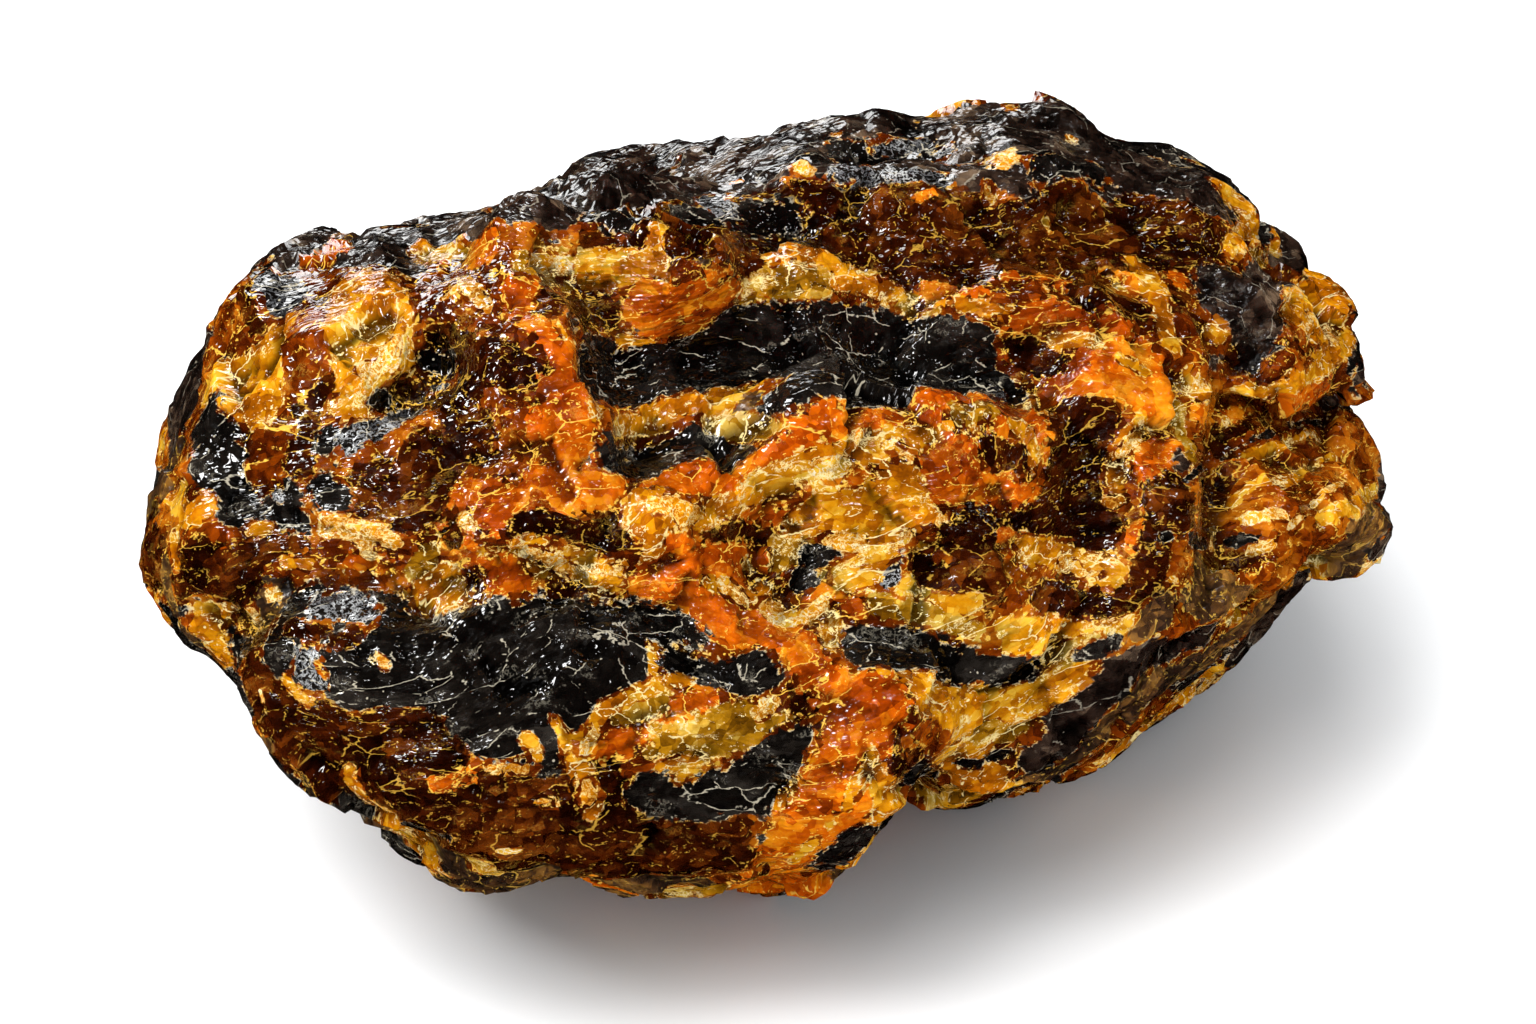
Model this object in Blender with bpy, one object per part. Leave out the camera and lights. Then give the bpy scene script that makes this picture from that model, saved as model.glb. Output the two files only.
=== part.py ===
"""A lump of raw amber: one solid, 7.5 cm long, lying on a natural flat of its underside.

Run it with: blender --background --python part.py

Lengths are in millimetres until the last step, which turns them into metres.
+Z is up, +X runs along the lump, and the origin is under the lump's middle, on the surface it lies on.
"""

import math

import bmesh
import bpy
import numpy as np
from mathutils import Matrix, Vector, noise
from mathutils.bvhtree import BVHTree

METRES_PER_MM = 0.001

# The sides that a feature can be placed from: azimuth and elevation in degrees.
# The show side, with the best windows into the amber, faces front left and a little up.
SHOW = (-35, 35)
LEFT = (-105, 15)
RIGHT = (75, 10)
BACK = (150, 20)
TOP = (0, 88)

# The body, described from its show side.
FRONT_DEPTH = 20.5  # from the girdle to the summit of the show face
BACK_DEPTH = 23.0  # from the girdle to the far side
SQUARENESS = 2.9  # 2 is a round profile, more is a boxier one
LEAN_ACROSS = -0.24  # the girdle leans back to the right
LEAN_UP = -0.34  # and back towards the top
EASY_WIDTH, EASY_HEIGHT = 33.5, 22.5  # the plain ellipse that the girdle softens into
CENTRE_HEIGHT = 17.5  # of the girdle's middle above the flat that the lump lies on

# The girdle is the lump's outline from the show side: (angle in degrees, radius).
GIRDLE = (
    (0, 31.9), (15, 33.5), (30, 31.5), (45, 26.4), (60, 23.1), (75, 20.2),
    (90, 18.7), (105, 18.0), (120, 20.4), (135, 21.9), (145, 25.6), (153, 29.8),
    (165, 32.0), (180, 33.7), (195, 30.5), (210, 28.7), (225, 27.8), (240, 23.4),
    (255, 22.0), (270, 20.2), (285, 18.7), (300, 18.7), (315, 21.8), (330, 25.2),
    (345, 29.4),
)

# Broad fracture flats: (azimuth, elevation, depth shaved off the body's bulge).
FLATS = (
    (20, -28, 2.2),
    (-70, -30, 2.0),
    (62, 12, 1.6),
    (118, 30, 2.0),
    (165, 18, 2.4),
    (215, -8, 2.0),
    (180, -35, 2.5),
    (-128, 16, 1.4),
    (20, 72, 1.2),
)

# Swells and hollows: (name, side, path, width, height). The path is drawn on the side as
# (across, up) points from the body's middle, and the form dies out a width away from it.
FORMS = (
    ("long hollow", SHOW, ((-7, 7.2), (-1, 7.6), (6, 8.2), (12, 6.8)), 4.4, -1.8),
    ("short hollow", SHOW, ((-8, 2.2), (-1, 2.8)), 2.6, -1.2),
    ("finger", SHOW, ((-12.6, 12.8), (-8, 12.2), (-5.0, 11.2)), 3.8, 2.3),
    ("rising band", SHOW, ((-13, -2.0), (-6, -1.2), (0, 2.0), (6, 3.4), (12, 2.6)), 4.0, 1.5),
    ("falling band", SHOW, ((-7, -3.0), (-2, -6.0), (3.4, -10.0), (4.6, -12.6)), 3.6, 1.4),
    ("toe", SHOW, ((6.0, -11.5), (3.0, -16.0), (-1.0, -20.5)), 4.2, 1.9),
    ("toe hollow", SHOW, ((7.6, -16.0), (6.2, -19.5)), 3.0, -1.6),
    ("left of toe", SHOW, ((-4.5, -14.5), (-3.5, -18.5)), 3.4, -0.8),
    ("lower window", SHOW, ((9.0, -7.6), (16, -8.6)), 2.6, -0.9),
    ("front brow", SHOW, ((13, 10), (18, 4), (19, -3), (17, -7)), 5.6, 1.7),
    ("left flap", SHOW, ((-14, 10), (-12, 7), (-11.5, 3)), 6.0, 1.3),
    ("left lobe", SHOW, ((-21.5, 12.0), (-21.0, 7.0)), 4.2, 1.0),
    ("lobe shade", SHOW, ((-19.6, 4.4), (-17.0, 6.0)), 2.4, -1.1),
    ("left cheek", SHOW, ((-30, -1), (-30.5, -5)), 5.0, 0.8),
    ("cheek groove", SHOW, ((-30.5, -10.5), (-26.5, -6.0), (-22, -4.6), (-16, -3.8)), 2.8, -1.5),
    ("lower left mass", SHOW, ((-25, -9), (-19, -12), (-10, -14)), 8.0, 1.2),
    ("upper right knob", SHOW, ((25.6, 16.4), (26.6, 14.9)), 3.2, 1.3),
    ("knob notch", SHOW, ((28.8, 13.0), (25.0, 12.4)), 2.2, -1.3),
    ("upper ledge", SHOW, ((26.0, 9.0), (31.0, 8.6)), 5.0, 1.7),
    ("lower ledge", SHOW, ((25.5, -2.4), (32.6, 0.4)), 4.0, 1.5),
    ("right gutter", SHOW, ((23.4, 4.2), (23.2, 0.0), (22.6, -3.8)), 2.3, -1.4),
    ("crown pocket", SHOW, ((-1.0, 14.2), (4.0, 13.8)), 3.4, -1.1),
    ("foot", SHOW, ((30.6, -1.9), (32.4, -3.0)), 3.4, 0.8),
    ("end dish", LEFT, ((-6, 2), (4, 4)), 7.0, -1.2),
    ("end rib", LEFT, ((-12, -6), (-3, -8), (8, -5)), 4.0, 1.2),
    ("shoulder swell", BACK, ((-18, 6), (-6, 10), (8, 8)), 8.0, 1.8),
    ("back furrow", BACK, ((-22, -3), (-8, 1), (6, -2), (20, 3)), 3.6, -1.9),
    ("back shelf", BACK, ((-20, -9), (-4, -6), (14, -8)), 5.0, 1.9),
    ("back dent", BACK, ((14, 8), (20, 6)), 6.0, -1.6),
    ("end fold", RIGHT, ((-12, 2), (0, 4), (12, 2)), 3.0, -1.6),
    ("end boss", RIGHT, ((4, -5), (10, -6)), 6.0, 1.4),
    ("crown dish", TOP, ((-4, 10), (10, 6)), 8.0, -1.5),
    ("crown knuckle", TOP, ((16, -2), (20, 3)), 5.0, 0.9),
)

# A lip is a broken edge: (name, side, path, reach, height, proud side). The ground rises
# towards it over its reach, and drops away sharply beyond it.
LEFT_OF, RIGHT_OF = 1, -1
LIPS = (
    ("flap edge", SHOW, ((-9.0, -1.6), (-9.0, 3.4), (-10.2, 7.0), (-12.4, 11.4)), 8.0, 2.2, LEFT_OF),
    ("lobe edge", SHOW, ((-21.6, 3.6), (-19.8, 6.4), (-19.3, 11.0)), 5.0, 1.2, LEFT_OF),
    ("finger edge", SHOW, ((-2.8, 12.2), (-3.4, 10.2), (-6.4, 8.9), (-10.2, 9.2)), 2.6, 0.9, RIGHT_OF),
    ("brow edge", SHOW, ((22.6, 11.4), (21.6, 6.0), (21.8, 1.0), (20.8, -3.6), (22.0, -7.4)), 4.6, 1.3, RIGHT_OF),
    ("upper ledge lip", SHOW, ((34.6, 8.4), (31.4, 6.8), (28.0, 4.4), (24.0, 2.4)), 4.6, 1.5, RIGHT_OF),
    ("lower ledge lip", SHOW, ((34.8, 0.0), (29.4, -2.8), (24.0, -5.4), (18.6, -9.6)), 6.4, 2.3, RIGHT_OF),
    ("crown edge", SHOW, ((18, 15.2), (8, 16.2), (-2, 15.9), (-12, 14.6)), 4.6, 0.7, RIGHT_OF),
    ("back edge", BACK, ((22, 2), (8, -3), (-6, 0), (-20, -5)), 6.0, 1.6, LEFT_OF),
    ("end edge", RIGHT, ((-14, 6), (-2, 8), (10, 5)), 5.0, 1.2, LEFT_OF),
    ("crown step", TOP, ((-22, -2), (-8, 5), (4, 4), (16, 9)), 6.0, 1.2, LEFT_OF),
)
EDGE_WEAR = 0.5  # half the width over which a lip drops
LIP_ENDS = 4.5  # how far from its ends a lip fades out
WANDER_SIZE, WANDER = 5.0, 1.6  # how far the forms and lips wander off their drawn paths

# The cleft is a thin lens cut into the right end, between the two ledges. Its run and its
# depth are directions (across, up, out) of the show side.
CLEFT_PLACE = (29.6, 3.6)
CLEFT_RUN = (11, 4.7, -18)
CLEFT_INTO = (0, 0.57, -0.82)
CLEFT_HALF_LENGTH, CLEFT_DEPTH, CLEFT_HALF_GAP = 12.0, 6.0, 0.7

# The grain of the broken surface, coarse to fine: (size of a lump, height, seed).
GRAIN = ((11.0, 0.9, 3.1), (5.0, 0.6, 17.4), (2.6, 0.34, 41.9))
CHIP_SIZE, CHIP_HEIGHT = 6.5, 0.8

BODY_SUBDIVISIONS = 6
WORKING_VOXEL = 0.75
WEAR_PASSES = 6
FINISHED_TRIANGLES = 9000


def side_axes(azimuth, elevation):
    """The directions across, up and out of a side, for someone who looks at it square on."""
    a = math.radians(azimuth)
    e = math.radians(elevation)
    across = Vector((math.cos(a), math.sin(a), 0))
    out = Vector((math.sin(a) * math.cos(e), -math.cos(a) * math.cos(e), math.sin(e)))
    return across, out.cross(across), out


def girdle_radius(angle):
    """The radius at an angle in degrees, on a smooth closed curve through GIRDLE."""
    angles = [a for a, _ in GIRDLE]
    radii = [r for _, r in GIRDLE]
    count = len(GIRDLE)
    angle %= 360
    i = max(k for k in range(count) if angles[k] <= angle)
    gap = (angles[(i + 1) % count] - angles[i]) % 360
    t = (angle - angles[i]) / gap
    before, start, end, after = (radii[(i + k) % count] for k in (-1, 0, 1, 2))
    return 0.5 * (
        2 * start
        + (end - before) * t
        + (2 * before - 5 * start + 4 * end - after) * t**2
        + (3 * start - before - 3 * end + after) * t**3
    )


def round_body():
    """The lump before any of its features: a globe whose equator is the girdle."""
    across, up, out = side_axes(*SHOW)
    centre = Vector((0, 0, CENTRE_HEIGHT))
    body = bmesh.new()
    bmesh.ops.create_icosphere(body, subdivisions=BODY_SUBDIVISIONS, radius=1)
    for vertex in body.verts:
        x, y, z = vertex.co
        spread = math.hypot(x, y)
        size = (spread**SQUARENESS + abs(z) ** SQUARENESS) ** (1 / SQUARENESS)
        ring = spread / size
        height = z / size
        angle = math.atan2(y, x)
        easy = math.hypot(EASY_WIDTH * math.cos(angle), EASY_HEIGHT * math.sin(angle))
        share = ring**1.5
        reach = ring * (share * girdle_radius(math.degrees(angle)) + (1 - share) * easy)
        a = reach * math.cos(angle)
        u = reach * math.sin(angle)
        depth = FRONT_DEPTH if height > 0 else BACK_DEPTH
        o = LEAN_ACROSS * a + LEAN_UP * u + depth * height
        vertex.co = centre + a * across + u * up + o * out
    return body


def cut_flat(body, place, outward):
    """Cuts away what lies beyond a plane, and closes the cut with one flat face."""
    everything = body.verts[:] + body.edges[:] + body.faces[:]
    cut = bmesh.ops.bisect_plane(
        body, geom=everything, plane_co=place, plane_no=outward, clear_outer=True
    )
    rim = [part for part in cut["geom_cut"] if isinstance(part, bmesh.types.BMEdge)]
    bmesh.ops.holes_fill(body, edges=rim)


def shave_flats(body):
    """Takes the broad fracture flats off the body's bulges."""
    for azimuth, elevation, depth in FLATS:
        outward = side_axes(azimuth, elevation)[2]
        reach = max(vertex.co.dot(outward) for vertex in body.verts)
        cut_flat(body, outward * (reach - depth), outward)


def object_of(name, body):
    """A new object in the scene that holds this bmesh, which is freed."""
    mesh = bpy.data.meshes.new(name)
    body.to_mesh(mesh)
    body.free()
    made = bpy.data.objects.new(name, mesh)
    bpy.context.scene.collection.objects.link(made)
    return made


def settled(obj):
    """A bmesh of the object as its modifiers leave it. The object is removed."""
    graph = bpy.context.evaluated_depsgraph_get()
    body = bmesh.new()
    body.from_object(obj, graph)
    bpy.data.objects.remove(obj)
    return body


def even_skin(body):
    """The same form with evenly sized faces and its hard edges a little worn."""
    blank = object_of("blank", body)
    remesh = blank.modifiers.new("even", "REMESH")
    remesh.mode = "VOXEL"
    remesh.voxel_size = WORKING_VOXEL
    worn = blank.modifiers.new("worn", "SMOOTH")
    worn.factor = 0.5
    worn.iterations = WEAR_PASSES
    return settled(blank)


def on_surface(tree, side, point):
    """Where a point given as (across, up) on a side meets the body's surface."""
    across, up, out = side_axes(*side)
    level = Vector((0, 0, CENTRE_HEIGHT)) + point[0] * across + point[1] * up
    hit = tree.ray_cast(level + 100 * out, -out)[0]
    if hit is None:
        hit = tree.find_nearest(level)[0]
    return np.array(hit)


def nearest_on(places, path):
    """For each place, how far it is from a path, and how far along the path the nearest point is."""
    best = np.full(len(places), np.inf)
    along = np.zeros(len(places))
    done = 0
    for start, end in zip(path, path[1:]):
        run = end - start
        length = np.linalg.norm(run)
        t = np.clip((places - start) @ run / length**2, 0, 1)
        gap = np.linalg.norm(places - start - t[:, None] * run, axis=1)
        nearer = gap < best
        best = np.where(nearer, gap, best)
        along = np.where(nearer, done + t * length, along)
        done += length
    return best, along, done


def eased(share):
    """0 to 1 with level ends, for a share that may run past them."""
    share = np.clip(share, 0, 1)
    return share**2 * (3 - 2 * share)


def swell(places, path, width, height):
    """The rise of a rounded swell along a path, or of a hollow where the height is negative."""
    away, _, _ = nearest_on(places, path)
    return height * eased(1 - away / width)


def lip(places, side, drawn, path, reach, height, proud_side):
    """The rise towards a broken edge, and the drop beyond it."""
    across, up, _ = side_axes(*side)
    seen = np.stack((places @ np.array(across), places @ np.array(up)), axis=1)
    seen -= np.array((0, up.z * CENTRE_HEIGHT))
    drawn = np.array(drawn, float)
    off, _, _ = nearest_on(seen, drawn)
    best = np.full(len(places), np.inf)
    left_of = np.zeros(len(places))
    for start, end in zip(drawn, drawn[1:]):
        gap, _, _ = nearest_on(seen, (start, end))
        run = end - start
        turn = run[0] * (seen - start)[:, 1] - run[1] * (seen - start)[:, 0]
        left_of = np.where(gap < best, np.sign(turn), left_of)
        best = np.minimum(best, gap)
    away, along, length = nearest_on(places, path)
    proud = eased(left_of * proud_side * off / (2 * EDGE_WEAR) + 0.5)
    ends = eased(np.minimum(along, length - along) / LIP_ENDS)
    return height * proud * ends * np.clip(1 - away / reach, 0, 1)


def wander(place):
    """How far off its drawn path a form lies at a place."""
    return WANDER * Vector([noise.noise(place / WANDER_SIZE + Vector((seed, 0, 0))) for seed in (5, 50, 500)])


def rough(place):
    """The rise of the broken surface's own grain at a place."""
    rise = 0
    for size, height, seed in GRAIN:
        rise += height * noise.noise(place / size + Vector((seed, 0, -seed)))
    chips, _ = noise.voronoi(place / CHIP_SIZE)
    return rise + CHIP_HEIGHT * (chips[0] - 0.5)


def sculpt(body):
    """Moves the skin along its normals for the forms, the lips and the grain."""
    body.normal_update()
    tree = BVHTree.FromBMesh(body)
    places = np.array([vertex.co + wander(vertex.co) for vertex in body.verts])
    rise = np.zeros(len(places))
    for _, side, drawn, width, height in FORMS:
        path = [on_surface(tree, side, point) for point in drawn]
        rise += swell(places, path, width, height)
    for _, side, drawn, reach, height, proud_side in LIPS:
        path = [on_surface(tree, side, point) for point in drawn]
        rise += lip(places, side, drawn, path, reach, height, proud_side)
    normals = [vertex.normal.copy() for vertex in body.verts]
    for vertex, normal, height in zip(body.verts, normals, rise):
        vertex.co += normal * (height + rough(vertex.co))


def thinned(body):
    """The same form in few enough triangles, with its small facets where it bends most."""
    body.faces.ensure_lookup_table()
    blank = object_of("blank", body)
    thin = blank.modifiers.new("thin", "DECIMATE")
    thin.ratio = FINISHED_TRIANGLES / (2 * len(blank.data.polygons))
    return settled(blank)


def cleft_cutter(tree):
    """The lens that the cleft is cut with, reaching in from the right end's surface."""
    across, up, out = side_axes(*SHOW)

    def direction(parts):
        return (parts[0] * across + parts[1] * up + parts[2] * out).normalized()

    run = direction(CLEFT_RUN)
    thickness = run.cross(direction(CLEFT_INTO)).normalized()
    into = thickness.cross(run)
    place = Vector(on_surface(tree, SHOW, CLEFT_PLACE))
    cutter = bmesh.new()
    bmesh.ops.create_icosphere(cutter, subdivisions=4, radius=1)
    for vertex in cutter.verts:
        x, y, z = vertex.co
        vertex.co = place + x * CLEFT_HALF_LENGTH * run + y * CLEFT_DEPTH * into
        vertex.co += z * CLEFT_HALF_GAP * thickness
    return object_of("cleft", cutter)


def with_cleft(body):
    """The body with the cleft cut out of its right end."""
    tree = BVHTree.FromBMesh(body)
    cutter = cleft_cutter(tree)
    blank = object_of("blank", body)
    cut = blank.modifiers.new("cleft", "BOOLEAN")
    cut.operation = "DIFFERENCE"
    cut.object = cutter
    body = settled(blank)
    bpy.data.objects.remove(cutter)
    return body


def centred(body):
    """Moves the body so that the origin is under the middle of its box."""
    places = np.array([vertex.co for vertex in body.verts])
    low, high = places.min(axis=0), places.max(axis=0)
    body.transform(Matrix.Translation((-(low[0] + high[0]) / 2, -(low[1] + high[1]) / 2, -low[2])))


def amber_finish():
    """Dark honey amber with a waxy polish."""
    material = bpy.data.materials.new("amber")
    material.use_nodes = True
    shader = material.node_tree.nodes["Principled BSDF"]
    shader.inputs["Base Color"].default_value = (0.42, 0.13, 0.02, 1)
    shader.inputs["Roughness"].default_value = 0.2
    shader.inputs["Metallic"].default_value = 0
    shader.inputs["IOR"].default_value = 1.54
    return material


def main():
    for old in list(bpy.data.objects):
        bpy.data.objects.remove(old)
    body = round_body()
    shave_flats(body)
    body = even_skin(body)
    sculpt(body)
    body = thinned(body)
    body = with_cleft(body)
    cut_flat(body, Vector((0, 0, 0)), Vector((0, 0, -1)))
    centred(body)
    body.transform(Matrix.Scale(METRES_PER_MM, 4))
    amber = object_of("amber", body)
    amber.data.materials.append(amber_finish())


main()
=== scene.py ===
import math

import bmesh
import bpy
import numpy as np
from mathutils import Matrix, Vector, noise
from mathutils.bvhtree import BVHTree


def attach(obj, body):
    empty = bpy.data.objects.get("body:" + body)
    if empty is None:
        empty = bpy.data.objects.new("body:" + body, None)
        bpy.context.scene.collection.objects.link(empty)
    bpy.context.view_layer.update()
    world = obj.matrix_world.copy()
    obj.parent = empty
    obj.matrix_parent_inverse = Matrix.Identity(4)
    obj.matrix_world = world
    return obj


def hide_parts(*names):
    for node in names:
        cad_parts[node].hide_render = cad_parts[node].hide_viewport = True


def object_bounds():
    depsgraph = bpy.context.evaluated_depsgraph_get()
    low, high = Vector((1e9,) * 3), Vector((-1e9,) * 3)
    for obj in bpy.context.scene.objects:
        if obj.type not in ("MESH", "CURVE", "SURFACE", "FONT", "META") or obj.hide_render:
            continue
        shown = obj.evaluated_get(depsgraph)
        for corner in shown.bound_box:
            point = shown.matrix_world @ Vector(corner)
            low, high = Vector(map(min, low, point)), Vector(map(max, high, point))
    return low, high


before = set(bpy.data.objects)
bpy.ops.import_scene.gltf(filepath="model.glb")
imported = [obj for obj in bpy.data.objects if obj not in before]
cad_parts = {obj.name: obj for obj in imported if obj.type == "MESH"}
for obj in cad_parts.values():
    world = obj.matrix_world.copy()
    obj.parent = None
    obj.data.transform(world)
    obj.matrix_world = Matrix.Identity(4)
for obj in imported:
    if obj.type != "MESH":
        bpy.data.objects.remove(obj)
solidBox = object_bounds()
scene = bpy.context.scene
mm = 0.001


# Where the lump is looked at from.
view = {
    "azimuth": -35,
    "elevation": 35,
    "distance": 284 * mm,
    "lens": 120,
    "sensor": 36,
    "heightAimedAt": 17.5 * mm,
    "slideAcross": -1.0 * mm,  # small framing shifts of the aim
    "slideUp": -1.8 * mm,
}


def viewAxes(azimuth, elevation):
    a, e = math.radians(azimuth), math.radians(elevation)
    across = Vector((math.cos(a), math.sin(a), 0))
    towards = Vector((math.sin(a) * math.cos(e), -math.cos(a) * math.cos(e), math.sin(e)))
    return across, towards.cross(across), towards


across, upwards, towards = viewAxes(view["azimuth"], view["elevation"])
aim = (Vector((0, 0, view["heightAimedAt"])) + view["slideAcross"] * across
       + view["slideUp"] * upwards)
eye = aim + view["distance"] * towards


def makeCamera():
    data = bpy.data.cameras.new("camera")
    data.lens = view["lens"]
    data.sensor_width = view["sensor"]
    data.clip_start = 1 * mm
    camera = bpy.data.objects.new("camera", data)
    camera.location = eye
    camera.rotation_mode = "QUATERNION"
    camera.rotation_quaternion = (-towards).to_track_quat("-Z", "Y")
    scene.collection.objects.link(camera)
    scene.camera = camera


makeCamera()
print("camera set")


# The lump's skin, an even fine mesh over the solid.
skin = {
    "weld": 0.0001 * mm,
    "voxel": 0.40 * mm,
    "evening": (0.5, 13),  # (factor, passes) of the smoothing that takes the flat facets out
    "flatUnderside": 0.6 * mm,  # below this height the relief dies out into the flat
}


def solidCopy(name):
    body = bmesh.new()
    body.from_mesh(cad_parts[name].data)
    bmesh.ops.remove_doubles(body, verts=body.verts[:], dist=skin["weld"])
    mesh = bpy.data.meshes.new("rawAmber")
    body.to_mesh(mesh)
    body.free()
    piece = bpy.data.objects.new("rawAmber", mesh)
    scene.collection.objects.link(piece)
    return piece


def applied(piece):
    graph = bpy.context.evaluated_depsgraph_get()
    mesh = bpy.data.meshes.new_from_object(piece.evaluated_get(graph))
    piece.modifiers.clear()
    piece.data = mesh
    return piece


def fineSkin(piece):
    remesh = piece.modifiers.new("fine", "REMESH")
    remesh.mode = "VOXEL"
    remesh.voxel_size = skin["voxel"]
    smooth = piece.modifiers.new("even", "SMOOTH")
    smooth.factor, smooth.iterations = skin["evening"]
    return applied(piece)


def pointsOf(mesh):
    places = np.empty(len(mesh.vertices) * 3)
    mesh.vertices.foreach_get("co", places)
    return places.reshape(-1, 3)


def normalsOf(mesh):
    normals = np.empty(len(mesh.vertices) * 3)
    mesh.vertex_normals.foreach_get("vector", normals)
    return normals.reshape(-1, 3)


def edgesOf(mesh):
    ends = np.empty(len(mesh.edges) * 2, int)
    mesh.edges.foreach_get("vertices", ends)
    return ends.reshape(-1, 2)


lump = fineSkin(solidCopy("amber"))
print("skin", len(lump.data.vertices), "points")


# Patches of colour, drawn on the lump as it is seen from the eye.
# Each is (kind, half width, points across and up), in mm. A later one lies over an earlier one.
# The last entries of each group are its small accents; many of the pale cream ones are painted glints
# and highlights, and the grey sheen ones painted reflections.
groundPatches = [
    ("cognac", 9.0, (-28, 6), (-20, 4), (-14, 6)),
    ("orange", 6.0, (-12, -1), (-4, -2), (6, 0), (16, 3)),
    ("maroon", 5.0, (-25, -11), (-16, -15), (-6, -17)),
    ("cognac", 4.0, (12, -2), (18, -3)),
    ("gold", 4.5, (6, -12), (12, -12), (17, -10)),
    ("cognac", 7.0, (25, 10), (28, 6), (28, 2)),
    ("crust", 5.0, (-14, 18.5), (-4, 20), (8, 20.5), (22, 18)),
    ("maroon", 4.0, (-10, 14.5), (0, 15), (12, 15.5), (24, 14)),
    ("orange", 3.0, (10, 11.5), (18, 11)),
]
crownPatches = [
    ("crust", 3.2, (-14, 18), (-6, 20), (2, 20.6), (10, 21.2), (17, 20.2), (23, 18)),
    ("crust", 2.2, (-13, 16.6), (-7, 17.8), (0, 18.6), (8, 19.2)),
    ("maroon", 2.4, (-8, 16.2), (-2, 16), (2, 16.4), (8, 16.8), (14, 17), (20, 16.4), (25, 15)),
    ("maroon", 2.2, (6, 15), (12, 14.8), (18, 14.4)),
    ("crust", 1.4, (3, 19.4), (8, 19), (14, 18.6)),
    ("crust", 1.6, (13, 19.5), (18, 18.8)),
    ("crust", 1.4, (5, 22.6), (10, 23), (14, 23.2), (16.8, 22.4)),
    ("black", 1.0, (15, 18.8), (18, 19)),
    ("black", 1.0, (-9.5, 16.3), (-8, 16.2)),
    ("black", 1.3, (-4, 16), (1, 16.6)),
    ("steel", 0.9, (-3, 17.6), (-2.4, 16.4)),
    ("steel", 0.8, (-13.2, 15.4), (-12.2, 15)),
    ("black", 1.5, (4.5, 19.7), (9.4, 20.1)),
    ("steel", 1.0, (6, 20), (8.6, 20.4)),
    ("steel", 0.9, (4, 18.8), (9, 18.6)),
    ("cream", 1.0, (12.0, 19.6), (12.8, 19.2)),
    ("cream", 0.5, (12, 18.2), (12.2, 17.6)),
    ("cream", 0.35, (16.6, 20.7), (17, 20.6)),
    ("gold", 0.5, (4.0, 20.9), (4.8, 21.1)),
    ("cream", 0.5, (1.6, 19), (2.2, 18.8)),
    ("gold", 0.5, (-5.2, 18.6), (-5, 19.8)),
    ("orange", 0.5, (-1.8, 18.5), (-0.8, 18.8)),
    ("gold", 0.6, (-6, 15.8), (-5.8, 14.2)),
    ("orange", 0.4, (8, 17), (8.4, 17.2)),
    ("gold", 0.4, (8.4, 22.4), (8.6, 22.3)),
    ("gold", 0.4, (13.6, 22.5), (13.8, 22.3)),
    ("cream", 0.3, (-11.5, 15.6), (-11, 15.8)),
    ("gold", 0.4, (15.6, 16.6), (15.8, 15.8)),
]
beltPatches = [
    ("maroon", 2.6, (-2, 16.6), (6, 16.8), (14, 16.4), (21, 15)),
    ("maroon", 1.6, (11, 13.6), (16, 13.8), (20, 13)),
    ("cognac", 1.4, (12, 11.6), (17, 11.4)),
    ("maroon", 1.2, (8, 13.4), (10, 13.2)),
    ("maroon", 2.0, (18, 11.5), (21, 12)),
    ("gold", 1.0, (0, 14), (2.6, 14.2), (4.6, 13.4), (7, 14.3)),
    ("olive", 1.2, (-2, 11.6), (0.6, 12.9), (3, 12.6), (6, 11.8)),
    ("gold", 0.9, (4, 12.6), (7, 12), (9.5, 11.2), (13, 10.8)),
    ("olive", 0.8, (8, 11), (10, 10.3), (12.4, 10.2)),
    ("orange", 0.6, (9, 12.4), (12, 12.2)),
    ("cream", 0.4, (15.4, 12.5), (15.5, 12.2)),
    ("orange", 0.9, (19.4, 12.6), (21, 12)),
    ("gold", 0.7, (18.6, 15.6), (20, 14), (21.2, 13.4), (21.6, 11), (21.8, 9)),
    ("cream", 0.4, (20, 12.4), (20.2, 12.1)),
    ("cream", 0.3, (18.3, 15.8), (18.5, 15.6)),
    ("orange", 0.9, (22.8, 13), (24, 12.6), (24.3, 13.6)),
]
blackPatches = [
    ("black", 2.2, (-9, 8), (-5, 7.9), (-1, 9), (3, 8.4), (8, 8), (12, 8)),
    ("black", 1.4, (-1, 10.4), (3, 10.2), (8, 9.4), (12, 9)),
    ("black", 1.3, (1, 6.4), (5, 6.7), (10, 7.1)),
    ("black", 1.4, (-8.8, 3.2), (-6, 3.2), (-3.2, 3.9), (-1, 3.4)),
    ("gold", 0.8, (-9.8, 6), (-8, 5.2), (-6, 5.4), (-4, 6), (-2.2, 6.4)),
    ("gold", 0.5, (-2.6, 7), (-1.6, 7.1), (-0.6, 7.3)),
    ("olive", 0.7, (-3, 5.2), (-0.6, 4.9), (1, 4.2)),
    ("maroon", 1.1, (-12, 11.4), (-9, 11), (-6.4, 10.6)),
    ("black", 0.8, (-10.6, 10.4), (-7, 10)),
    ("gold", 0.6, (-10.6, 9.7), (-7.6, 9.4), (-5, 9.7)),
    # a painted shadow: the black thread under the finger lobe
    ("black", 0.6, (-9.8, 8.9), (-6, 8.9), (-3.4, 9.8), (-2.4, 11)),
    ("olive", 1.2, (-13.2, 13.6), (-11.4, 13.3), (-10, 13.2)),
    ("cream", 0.7, (-12.8, 13.7), (-11.2, 13.4)),
    ("gold", 1.4, (-9.4, 13.4), (-7, 13), (-5.6, 12.4)),
    ("orange", 1.7, (-6.2, 11.6), (-4.2, 11.4), (-3.6, 12)),
    ("gold", 0.5, (-8, 14.3), (-6, 13.9)),
]
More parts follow.
